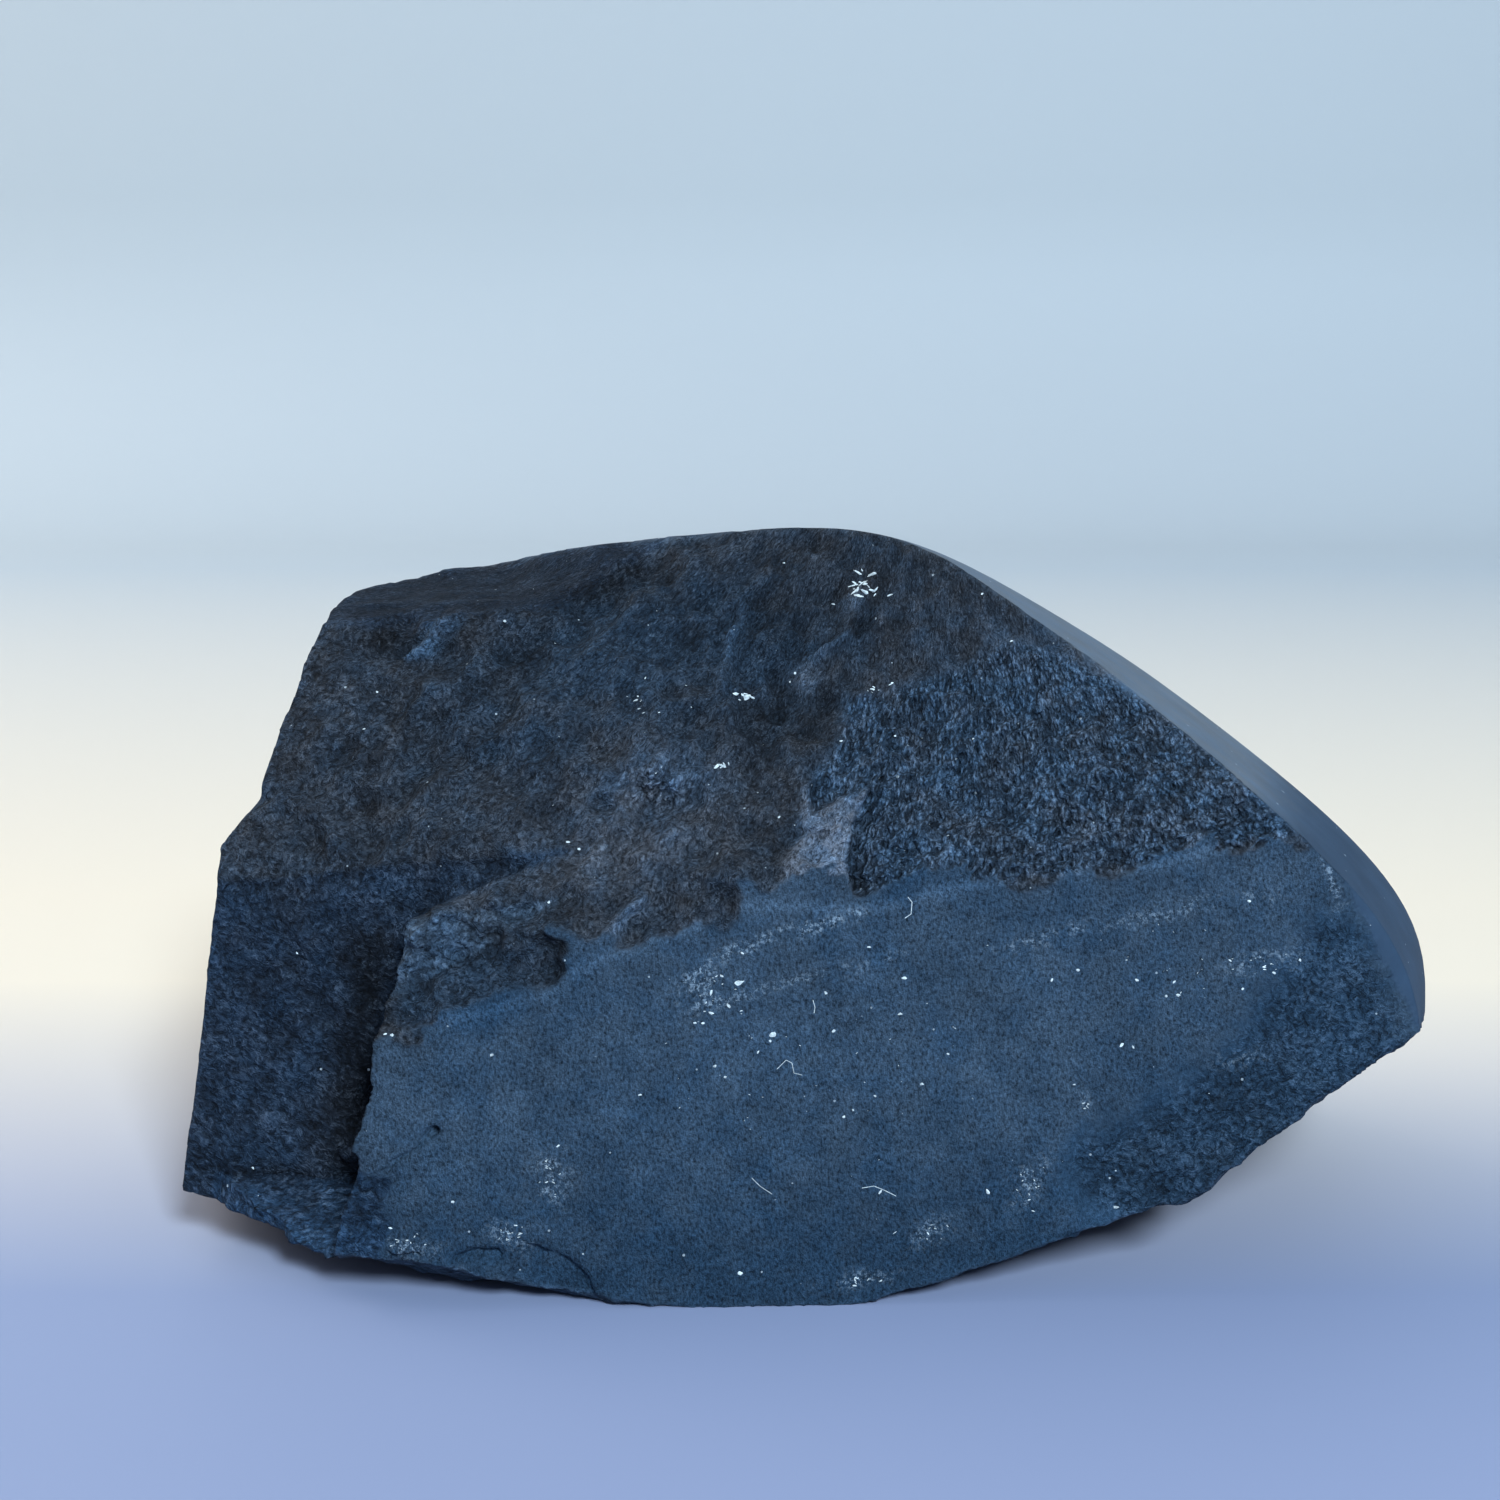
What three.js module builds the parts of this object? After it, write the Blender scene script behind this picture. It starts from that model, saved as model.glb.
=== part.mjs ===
// A chrysanthemum stone lying on a table: one lump of dark limestone, in millimetres, +Z up.
// The viewer stands at -Y. There the lump is sawn and broken. Its far side keeps a ground, domed skin.
//
// Seen from a heart inside the lump no part of its surface hides another. So a ball of triangles blown
// out from the heart until it meets the surface makes one closed mesh.
import * as THREE from "three";
import { ImprovedNoise } from "three/addons/math/ImprovedNoise.js";
import { mergeVertices } from "three/addons/utils/BufferGeometryUtils.js";

// ---- Driving dimensions -------------------------------------------------------------------------
const HEART = new THREE.Vector3(-8, 11, 31);

// A flat is given by a point on it and by where it faces. Turn is degrees to the viewer's right, lean
// is degrees above the horizon, and rough is how much of the broken relief the flat carries.

// The ground skin. Its flats blend into one dome, squarer as the roundness rises.
const SKIN_ROUNDNESS = 13;
const SKIN = [
  flat([29.5, -5, 58.8], 86, 57), // flank
  flat([59.1, -5, 43.6], 72, 35), // shoulder
  flat([71.6, -5, 24], 64, 4), // right end
  flat([62, 0, 9], 80, -35), // under the right end
  flat([-12.1, 2.1, 71.6], -150, 79), // top
  flat([47, 29, 28], 140, 8), // back, right half
  flat([-5, 37, 24], 182, -2), // back
  flat([-5, 33, 52], 176, 38), // back, near the top
  flat([-50, 27, 28], -140, 12), // back, left half
  flat([-73, 10, 30], -95, 10), // left end
  flat([0, 0, -4], 0, -90), // foot
];

// Each cut takes away all that lies outside it.
const CUTS = {
  sawnFace: flat([-11.7, -28, 0.5], 2, 10),
  grainyBreak: flat([-6.9, -21.3, 38.8], -2, 43, 0.6),
  leftFlank: flat([-62.9, -5, 21], -82, 9, 0.7),
  leftUnderside: flat([-35.8, -28.1, 4.2], -17, -58, 0.6),
  cornerUnderside: flat([-57.6, -15.5, 5.2], -54, -73, 0.6),
  rightUnderside: flat([24.3, -25.8, 5.9], 45, -67, 0.7),
  tipUnderside: flat([47.3, -23.1, 17.2], 58, -46, 0.7),
  brokenCorner: flat([39, -22.4, 24], 6.2, 4, 0.7),
  rest: flat([0, 0, 0], 0, -90),
};

// Each hollow takes away a ball.
const HOLLOWS = {
  topPit: hollow([-38, -3, 69], 7.5, 0.5),
  ridgeHollow: hollow([-2, -17, 65], 9, 0.4),
};

// Each break leaves some blocks standing. A block is what lies inside all of its flats.
const SLAB_EDGE = {
  wall: flat([-42.3, -25, 25], -106, 8, 0.4),
  brow: flat([-38.2, -20.6, 35.1], -122, 50, 0.3),
};
const BREAKS = {
  smoothBreak: {
    slope: { face: flat([-6.9, -21.3, 38.8], -10, 36, 0.9) },
    brow: {
      front: flat([-38, -23, 27.5], 0, 22, 0.5),
      top: flat([-30, -19.2, 37.6], -12, 62, 0.5),
      right: flat([-23.5, -20.6, 35], 32, 26, 0.4),
      ...SLAB_EDGE,
    },
  },
  recess: {
    floor: { face: flat([-44, -13.7, 40.6], -6, 8, 0.5) },
    slab: SLAB_EDGE,
    ledge: {
      front: flat([-44, -25.8, 8], -30, 14, 0.7),
      top: flat([-50, -17.7, 9.2], -8, 56, 0.7),
    },
  },
  leftShoulder: {
    wall: { face: flat([-53.3, 0, 54], -88, 20, 0.8) },
    step: { face: flat([-58.5, -5, 42.4], -88, 37, 0.6) },
  },
  topLeft: {
    floor: { face: flat([-37, 1.7, 62.3], -25, 81, 0.6) },
    wall: { face: flat([-25.5, 0.7, 64.4], -62, 64, 0.7) },
  },
  valley: {
    left: { face: flat([-30, -2.5, 59], 30, 48, 0.6) },
    right: { face: flat([-30, -2.5, 59], -55, 40, 0.6) },
  },
};

// The relief of the breaks, as waves of noise.
const RELIEF = [
  { wave: 15, height: 2.1 },
  { wave: 6.5, height: 1.2 },
];

// The mesh. Its vertices crowd round some places, and those nearest to an edge move onto it.
const BALL_DETAIL = 21; // 20 * 22^2 triangles
const BALL_SHAPE = new THREE.Vector3(58, 31, 34);
const CROWDS = [
  { middle: new THREE.Vector3(0, -25, 35), reach: 60, pull: 1 }, // viewer's side
  { middle: new THREE.Vector3(-46, -21, 12), reach: 22, pull: 3 }, // recess
  { middle: new THREE.Vector3(-32, -20, 36), reach: 18, pull: 3 }, // brow
];
const EVENING_ROUNDS = 80;
const SNAP_LIMIT = 3;
const MENDING_ROUNDS = 6;

// ---- Surfaces -----------------------------------------------------------------------------------
// Each surface tells how far outside it a point lies, and how far along a ray from the heart it is.
function flat(point, turn, lean, rough = 0) {
  const [t, l] = [turn, lean].map(THREE.MathUtils.degToRad);
  const normal = new THREE.Vector3(Math.sin(t) * Math.cos(l), -Math.cos(t) * Math.cos(l), Math.sin(l));
  const plane = new THREE.Plane().setFromNormalAndCoplanarPoint(normal, new THREE.Vector3(...point));
  const room = -plane.distanceToPoint(HEART);
  return {
    rough,
    outside: (p) => plane.distanceToPoint(p),
    share: (direction) => Math.max(0, normal.dot(direction)) / room,
    reach: (direction) => (normal.dot(direction) > 0 ? room / normal.dot(direction) : Infinity),
  };
}

function hollow(centre, radius, rough) {
  const toCentre = new THREE.Vector3(...centre).sub(HEART);
  return {
    rough,
    outside: (p) => radius - p.clone().sub(HEART).distanceTo(toCentre),
    reach: (direction) => {
      const along = toCentre.dot(direction);
      const under = radius * radius - toCentre.lengthSq() + along * along;
      return along > 0 && under > 0 ? along - Math.sqrt(under) : Infinity;
    },
  };
}

function dome(flats, roundness) {
  const fullness = (direction) => Math.pow(
    flats.reduce((sum, f) => sum + Math.pow(f.share(direction), roundness), 0),
    1 / roundness,
  );
  return {
    rough: 0,
    outside: (p) => {
      const fromHeart = p.clone().sub(HEART);
      return fromHeart.length() - 1 / fullness(fromHeart.normalize());
    },
    reach: (direction) => 1 / fullness(direction),
  };
}

const outer = [dome(SKIN, SKIN_ROUNDNESS), ...Object.values(CUTS), ...Object.values(HOLLOWS)];
const breaks = Object.values(BREAKS).map((blocks) => Object.values(blocks).map(Object.values));

// Which surface a ray from the heart leaves the lump through, and how far along.
function exit(direction) {
  const nearer = (a, b) => (b.reach < a.reach ? b : a);
  const farther = (a, b) => (b.reach > a.reach ? b : a);
  const crossing = (surface) => ({ surface, reach: surface.reach(direction) });
  const block = (flats) => flats.map(crossing).reduce(nearer);
  const broken = breaks.map((blocks) => blocks.map(block).reduce(farther));
  return [...outer.map(crossing), ...broken].reduce(nearer);
}

const directionTo = (p) => p.clone().sub(HEART).normalize();

function onSurface(direction) {
  return direction.clone().multiplyScalar(exit(direction).reach).add(HEART);
}

function gradient(surface, p, step = 1e-3) {
  const slope = ["x", "y", "z"].map((axis) => {
    const [ahead, behind] = [p.clone(), p.clone()];
    ahead[axis] += step;
    behind[axis] -= step;
    return (surface.outside(ahead) - surface.outside(behind)) / (2 * step);
  });
  return new THREE.Vector3(...slope);
}

// The nearest point to p where surfaces a and b meet, or null where they run side by side.
function ontoEdge(p, a, b) {
  const q = p.clone();
  for (let i = 0; i < 6; i++) {
    const [ga, gb] = [gradient(a, q), gradient(b, q)];
    const [fa, fb] = [a.outside(q), b.outside(q)];
    const [aa, ab, bb] = [ga.dot(ga), ga.dot(gb), gb.dot(gb)];
    const spread = aa * bb - ab * ab;
    if (spread < 1e-3) return null;
    q.addScaledVector(ga, (fb * ab - fa * bb) / spread);
    q.addScaledVector(gb, (fa * ab - fb * aa) / spread);
  }
  return q;
}

// ---- Mesh ---------------------------------------------------------------------------------------
function ball() {
  const geometry = new THREE.IcosahedronGeometry(1, BALL_DETAIL);
  geometry.deleteAttribute("normal");
  geometry.deleteAttribute("uv");
  return mergeVertices(geometry, 1e-4);
}

function neighboursOf(index, count) {
  const sets = Array.from({ length: count }, () => new Set());
  for (let i = 0; i < index.length; i += 3)
    for (const [a, b] of [[0, 1], [1, 2], [2, 0]]) {
      sets[index[i + a]].add(index[i + b]);
      sets[index[i + b]].add(index[i + a]);
    }
  return sets.map((s) => [...s]);
}

function mean(points, weights = points.map(() => 1)) {
  const sum = points.reduce((s, p, i) => s.addScaledVector(p, weights[i]), new THREE.Vector3());
  return sum.divideScalar(weights.reduce((a, b) => a + b));
}

// Spreads the vertices over the surface, closer together where they crowd.
function even(points, neighbours) {
  const crowding = (p) => CROWDS.reduce(
    (sum, { middle, reach, pull }) => sum + pull * Math.exp(-p.distanceToSquared(middle) / reach ** 2),
    1,
  );
  for (let round = 0; round < EVENING_ROUNDS; round++) {
    const weights = points.map(crowding);
    points = neighbours.map((near) =>
      onSurface(directionTo(mean(near.map((j) => points[j]), near.map((j) => weights[j])))));
  }
  return points;
}

// Where a triangle's side crosses an edge of the stone, its nearer end moves onto that edge. Gives each
// vertex its place and the surfaces it belongs to.
function snap(points, neighbours) {
  const owners = points.map((p) => exit(directionTo(p)).surface);
  const belongs = (q) => Math.abs(exit(directionTo(q)).reach - q.distanceTo(HEART)) < 0.05;
  return points.map((p, i) => {
    const own = owners[i];
    const isNearer = (j) => Math.abs(owners[j].outside(p)) <= Math.abs(own.outside(points[j]));
    const crossed = neighbours[i]
      .filter((j) => owners[j] !== own && isNearer(j))
      .map((j) => ({ at: ontoEdge(p, own, owners[j]), on: [own, owners[j]] }))
      .filter(({ at }) => at && belongs(at) && at.distanceTo(p) < SNAP_LIMIT)
      .sort((a, b) => a.at.distanceTo(p) - b.at.distanceTo(p));
    return crossed[0] ?? { at: p, on: [own] };
  });
}

// Moves a vertex by the relief. It stays on the smooth surfaces it belongs to and inside the rest.
function relieve(p, owners) {
  const noise = new ImprovedNoise();
  const rough = Math.max(...owners.map((s) => s.rough));
  if (!rough) return p;
  const shift = new THREE.Vector3();
  for (const { wave, height } of RELIEF) {
    const [x, y, z] = p.clone().divideScalar(wave).toArray();
    shift.add(new THREE.Vector3(
      noise.noise(x, y, z),
      noise.noise(x + 31.4, y + 11.7, z + 5.3),
      noise.noise(x + 71.9, y + 43.1, z + 27.7),
    ).multiplyScalar(height * rough));
  }
  for (const smooth of owners.filter((s) => !s.rough)) {
    const outward = gradient(smooth, p).normalize();
    shift.addScaledVector(outward, -shift.dot(outward));
  }
  const moved = p.clone().add(shift);
  for (const smooth of [CUTS.sawnFace, CUTS.rest])
    moved.addScaledVector(gradient(smooth, moved), -Math.max(0, smooth.outside(moved)));
  return moved;
}

// Draws the corners of any folded triangle back among their neighbours.
function mend(points, neighbours, index) {
  for (let round = 0; round < MENDING_ROUNDS; round++) {
    const folded = new Set();
    for (let i = 0; i < index.length; i += 3) {
      const corners = [...index.slice(i, i + 3)];
      const [a, b, c] = corners.map((k) => points[k].clone().sub(HEART));
      if (a.dot(b.cross(c)) < 0.02) corners.forEach((k) => folded.add(k));
    }
    points = points.map((p, i) =>
      (folded.has(i) ? p.clone().lerp(mean(neighbours[i].map((j) => points[j])), 0.7) : p));
  }
  return points;
}

function stoneGeometry() {
  const geometry = ball();
  const index = geometry.index.array;
  const position = geometry.getAttribute("position");
  const neighbours = neighboursOf(index, position.count);
  let points = neighbours.map((_, i) =>
    onSurface(new THREE.Vector3().fromBufferAttribute(position, i).multiply(BALL_SHAPE).normalize()));
  points = even(points, neighbours);
  points = snap(points, neighbours).map(({ at, on }) => relieve(at, on));
  points = mend(points, neighbours, index);
  points.forEach((p, i) => position.setXYZ(i, p.x, p.y, p.z));
  geometry.computeBoundingBox();
  const middle = geometry.boundingBox.getCenter(new THREE.Vector3());
  geometry.translate(-middle.x, -middle.y, 0); // stands on the origin
  geometry.computeVertexNormals();
  return geometry;
}

const stone = new THREE.Mesh(
  stoneGeometry(),
  new THREE.MeshStandardMaterial({ color: 0x37506a, roughness: 0.85, metalness: 0 }),
);
stone.name = "stone";
const part = new THREE.Group();
part.add(stone);
export default part;
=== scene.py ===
"""A chrysanthemum stone on a pale table: one lump of dark slate-blue limestone, sawn flat in front.

The lump is drawn in millimetres in a working frame and moved to the CAD frame, in metres, at the end.
The viewer stands at -Y. A place on the viewer's side may be given as seen, in pixels of the 1500 x 1500
photograph, where 10 pixels are about 1 mm on the stone.
"""
import math
from itertools import product

import bmesh
import bpy
import numpy as np
from mathutils import Matrix, Vector
from mathutils.bvhtree import BVHTree


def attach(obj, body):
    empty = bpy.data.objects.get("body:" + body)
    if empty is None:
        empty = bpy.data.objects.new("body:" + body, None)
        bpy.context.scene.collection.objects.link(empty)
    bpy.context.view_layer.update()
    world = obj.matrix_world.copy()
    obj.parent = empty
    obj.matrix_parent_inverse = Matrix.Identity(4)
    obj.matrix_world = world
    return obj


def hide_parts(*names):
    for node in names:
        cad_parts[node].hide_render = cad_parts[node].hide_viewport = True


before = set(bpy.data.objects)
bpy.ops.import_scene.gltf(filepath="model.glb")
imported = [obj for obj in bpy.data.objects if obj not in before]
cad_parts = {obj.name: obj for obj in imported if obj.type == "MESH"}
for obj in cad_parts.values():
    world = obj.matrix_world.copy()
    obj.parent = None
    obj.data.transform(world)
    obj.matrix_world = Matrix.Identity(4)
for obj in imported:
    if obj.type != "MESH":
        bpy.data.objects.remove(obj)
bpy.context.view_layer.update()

MM = 0.001
MIDDLE = np.array([-0.919, 4.853, 0.0])  # the CAD origin, in the working frame
HEART = np.array([-8.0, 11.0, 31.0])  # a point inside, from which no part of the surface hides another

# The photograph's camera, in the working frame.
EYE = np.array([-5.9, -211.9, 99.8])
LOOKING_DOWN = 13.5  # degrees
LENS = 50.0
SENSOR = 36.0
PHOTO = 1500  # pixels each way


# ---- The lump's flats ----
FAR = 150  # millimetres, outside the stone
TINY = 1e-6  # keeps a division from being by zero


class Flat:
    """A plane through a point. Turn is degrees to the viewer's right, lean is degrees above the horizon."""

    def __init__(self, look, point, turn, lean):
        turn, lean = math.radians(turn), math.radians(lean)
        self.look = look
        self.normal = np.array(
            [math.sin(turn) * math.cos(lean), -math.cos(turn) * math.cos(lean), math.sin(lean)]
        )
        self.room = self.normal @ (np.array(point) - HEART)

    def reach(self, rays):
        return np.minimum(self.room / np.maximum(rays @ self.normal, TINY), FAR)


LOOKS = ["skin", "end", "sawn", "grainy", "smooth", "side", "brow", "recess", "ledge", "under", "rest"]

SKIN_ROUNDNESS = 13
SKIN = [
    Flat("skin", (29.5, -5, 58.8), 86, 57),  # flank
    Flat("skin", (59.1, -5, 43.6), 72, 35),  # shoulder
    Flat("skin", (71.6, -5, 24), 64, 4),  # right end
    Flat("skin", (62, 0, 9), 80, -35),  # under the right end
    Flat("skin", (-12.1, 2.1, 71.6), -150, 79),  # top
    Flat("skin", (47, 29, 28), 140, 8),  # back, right half
    Flat("skin", (-5, 37, 24), 182, -2),  # back
    Flat("skin", (-5, 33, 52), 176, 38),  # back, near the top
    Flat("skin", (-50, 27, 28), -140, 12),  # back, left half
    Flat("skin", (-73, 10, 30), -95, 10),  # left end
    Flat("skin", (0, 0, -4), 0, -90),  # foot
]
SAWN = Flat("sawn", (-11.7, -28, 0.5), 2, 10)
END = Flat("end", (53.8, -19.5, 35.7), 13, 15)  # a ground facet at the right end of the sawn face
REST = Flat("rest", (0, 0, 0), 0, -90)

# Each break leaves some blocks standing, and a block is what lies inside all of its flats.
SLAB_WALL = Flat("recess", (-42.3, -25, 25), -106, 8)
SLAB_BROW = Flat("recess", (-27.1, -17.3, 41.3), -122, 63)
BREAKS = [
    [[Flat("grainy", (-6.9, -21.3, 38.8), -2, 43)]],
    [[Flat("side", (-62.9, -5, 21), -82, 9)]],  # left flank
    [[Flat("under", (-35.8, -28.1, 4.2), -17, -58)]],
    [[Flat("under", (-57.6, -15.5, 5.2), -54, -73)]],
    [[Flat("under", (24.3, -25.8, 5.9), 45, -67)]],
    [[Flat("under", (47.3, -23.1, 17.2), 58, -46)]],
    [
        [Flat("smooth", (-6.9, -21.3, 38.8), -10, 36)],
        [
            Flat("brow", (-38, -23, 27.5), 0, 22),
            Flat("smooth", (-30, -19.2, 37.6), -12, 62),
            Flat("smooth", (-23.5, -20.6, 35), 32, 26),
            SLAB_WALL,
            SLAB_BROW,
        ],
    ],
    [
        [Flat("recess", (-44, -13.7, 40.6), -6, 8)],
        [SLAB_WALL, SLAB_BROW],
        [Flat("ledge", (-44, -25.8, 8), -30, 14), Flat("ledge", (-50, -17.7, 9.2), -8, 56)],
    ],
    [[Flat("side", (-53.3, 0, 54), -88, 20)], [Flat("side", (-58.5, -5, 42.4), -88, 37)]],
    [[Flat("side", (-37, 1.7, 62.3), -25, 81)], [Flat("side", (-25.5, 0.7, 64.4), -62, 64)]],
    [[Flat("smooth", (-30, -2.5, 59), 30, 48)], [Flat("smooth", (-30, -2.5, 59), -55, 40)]],
]


def skin_reach(rays):
    """How far from the heart the ground skin is: its flats blended into one dome."""
    fullness = sum(
        np.maximum(0, rays @ flat.normal / flat.room) ** SKIN_ROUNDNESS for flat in SKIN
    )
    return fullness ** (-1 / SKIN_ROUNDNESS)


def pick(choices, which):
    """From (reach, flat number) pairs, the nearest or the farthest one along each ray."""
    reach = np.array([choice[0] for choice in choices])
    owner = np.array([choice[1] for choice in choices])
    best = which(reach, axis=0)
    along = np.arange(reach.shape[1])
    return reach[best, along], owner[best, along]


FLATS = [flat for blocks in BREAKS for block in blocks for flat in block]


def broken_reach(rays):
    """Where each ray leaves the broken lump, before its relief, and through which flat."""
    def crossing(flat):
        return flat.reach(rays), np.full(len(rays), FLATS.index(flat))
    blocks = [[pick([crossing(f) for f in block], np.argmin) for block in blocks] for blocks in BREAKS]
    return pick([pick(block, np.argmax) for block in blocks], np.argmin)


# ---- Noise and soft marks ----
draw = np.random.default_rng(11)
LATTICE = 4096
SEED_STEP = 57
WAVE_HEIGHT = 1.6  # brings the smooth noise to about -1 to 1
RIDGE_HEIGHT = 0.7
SHUFFLE = draw.permutation(LATTICE)
ARROWS = draw.normal(size=(LATTICE, 3))
ARROWS /= np.linalg.norm(ARROWS, axis=1)[:, None]
SCATTER = draw.random((LATTICE, 4))


def lot(cell, seed):
    """A number from 0 to LATTICE - 1 for each cell, always the same for the same cell and seed."""
    n = SHUFFLE[(cell[:, 0] + SEED_STEP * seed) % LATTICE]
    n = SHUFFLE[(n + cell[:, 1]) % LATTICE]
    return SHUFFLE[(n + cell[:, 2]) % LATTICE]


def waves(points, length, seed=0):
    """Smooth noise, about -1 to 1, whose bumps are that far apart."""
    q = points / length
    cell = np.floor(q).astype(int)
    f = q - cell
    fade = f * f * f * (f * (f * 6 - 15) + 10)
    total = np.zeros(len(q))
    for corner in product((0, 1), repeat=3):
        weight = np.prod(np.where(corner, fade, 1 - fade), axis=1)
        total += weight * np.einsum("ij,ij->i", ARROWS[lot(cell + corner, seed)], f - corner)
    return WAVE_HEIGHT * total


def scoops(points, size, seed=0, uneven=0.6):
    """Round hollows side by side, with sharp ridges between: about 0 in the hollows, 1 on the ridges."""
    q = points / size
    cell = np.floor(q).astype(int)
    nearest = np.full(len(q), np.inf)
    for step in product((-1, 0, 1), repeat=3):
        chance = SCATTER[lot(cell + step, seed)]
        gap = ((q - cell - step - chance[:, :3]) ** 2).sum(axis=1) + uneven * chance[:, 3]
        nearest = np.minimum(nearest, gap)
    return nearest


def ridges(points, size, seed):
    """Scoops moved to lie about zero: low in the hollows, high on the ridges."""
    return RIDGE_HEIGHT * (2 * scoops(points, size, seed) - 1)


def wobble(points, length, seed):
    """A smooth sideways shift, about -1 to 1 each way, that makes drawn things uneven."""
    return np.stack([waves(points, length, seed + way) for way in range(3)], 1)


def ease(x):
    """From 0 to 1, gently at both ends."""
    x = np.clip(x, 0, 1)
    return x * x * (3 - 2 * x)


class Oval:
    """A soft oval mark, 1 in its middle. Turn is in degrees, clockwise as seen."""

    def __init__(self, middle, across, tall, turn=0):
        self.middle, self.across, self.tall = np.array(middle), across, tall
        self.right = np.array([math.cos(math.radians(turn)), math.sin(math.radians(turn))])
        self.below = np.array([-self.right[1], self.right[0]])

    def on(self, at):
        d = at - self.middle
        return np.exp(-((d @ self.right / self.across) ** 2) - (d @ self.below / self.tall) ** 2)


class Streak:
    """A soft mark along a line through the route's points, 1 on the line."""

    def __init__(self, route, width):
        self.route, self.width = np.array(route, float), width

    def away(self, at):
        nearest = np.full(len(at), np.inf)
        for a, b in zip(self.route[:-1], self.route[1:]):
            t = np.clip((at - a) @ (b - a) / ((b - a) @ (b - a)), 0, 1)
            nearest = np.minimum(nearest, np.linalg.norm(at - a - t[:, None] * (b - a), axis=1))
        return nearest

    def on(self, at):
        return np.exp(-(self.away(at) / self.width) ** 2)


class Patch(Streak):
    """A mark that is 1 inside an outline and 0 outside, with a soft border of that width."""

    def __init__(self, outline, width):
        super().__init__(outline + outline[:1], width)

    def on(self, at):
        inside = np.zeros(len(at), bool)
        for a, b in zip(self.route[:-1], self.route[1:]):
            between = (a[1] > at[:, 1]) != (b[1] > at[:, 1])
            rise = (b[1] - a[1]) or TINY
            inside ^= between & (at[:, 0] < (b[0] - a[0]) * (at[:, 1] - a[1]) / rise + a[0])
        return ease(0.5 + np.where(inside, 0.5, -0.5) * self.away(at) / self.width)


def total_of(marks, at):
    """What the marks of a {name: (amount, mark)} table come to at each place."""
    return sum(amount * mark.on(at) for amount, mark in marks.values())


# ---- Where things show ----
down = math.radians(LOOKING_DOWN)
AHEAD = np.array([0, math.cos(down), -math.sin(down)])
UPWARD = np.array([0, math.sin(down), math.cos(down)])
FOCAL = LENS / SENSOR * PHOTO


def seen(points):
    """Where points of the working frame show in the photograph, in pixels."""
    d = points - EYE
    depth = d @ AHEAD
    return np.stack([PHOTO / 2 + FOCAL * d[:, 0] / depth, PHOTO / 2 - FOCAL * (d @ UPWARD) / depth], 1)


# ---- Relief ----
LIGHT_FACET = Patch([(803, 788), (812, 815), (866, 787), (852, 822), (846, 862), (858, 900), (800, 908),
                     (768, 902), (782, 862), (800, 835)], 4)
FLAT_HOLLOW = Patch([(741, 700), (762, 705), (796, 684), (838, 680), (850, 700), (835, 722), (800, 748),
                     (786, 738), (768, 748), (738, 740)], 13)
PIT_FACET = Patch([(406, 657), (418, 634), (440, 622), (468, 614), (456, 632), (432, 652)], 5)
DARK_SPOT = Oval((858, 626), 12, 8, 0)
MIDDLE_FACE = Oval((620, 850), 90, 45, -10)
SPUR = Streak([(586, 960), (612, 932), (642, 899)], 6)
SCARRED_BUMP = Oval((658, 786), 42, 30, 5)
ROUGH_CORNER = Patch([(1068, 1165), (1085, 1130), (1135, 1120), (1190, 1080), (1235, 1045), (1262, 1000),
                      (1290, 955), (1320, 915), (1345, 912), (1372, 950), (1395, 1010), (1440, 1060),
                      (1250, 1190), (1130, 1235), (1085, 1200)], 24)
LOWER_LEFT_LEDGE = Patch([(290, 1140), (338, 1150), (354, 1164), (368, 1174), (392, 1180), (384, 1205),
                          (392, 1228), (380, 1250), (380, 1290), (290, 1290)], 14)
COARSE_ZONE = Patch([(1010, 640), (960, 668), (900, 685), (850, 700), (838, 740), (805, 790), (790, 880),
                     (870, 905), (1000, 885), (1130, 868), (1320, 835), (1240, 760), (1113, 673)], 8)
BLOCKY_ZONE = Patch([(640, 560), (860, 530), (960, 560), (1010, 640), (850, 700), (790, 780), (700, 760),
                     (600, 700)], 24)
FINE_ZONE_RELIEF = 0.7  # the share of the small relief where the grainy break is finer

CRACK = [(429, 1133), (412, 1150), (405, 1155), (391, 1163), (384, 1173)]

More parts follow.
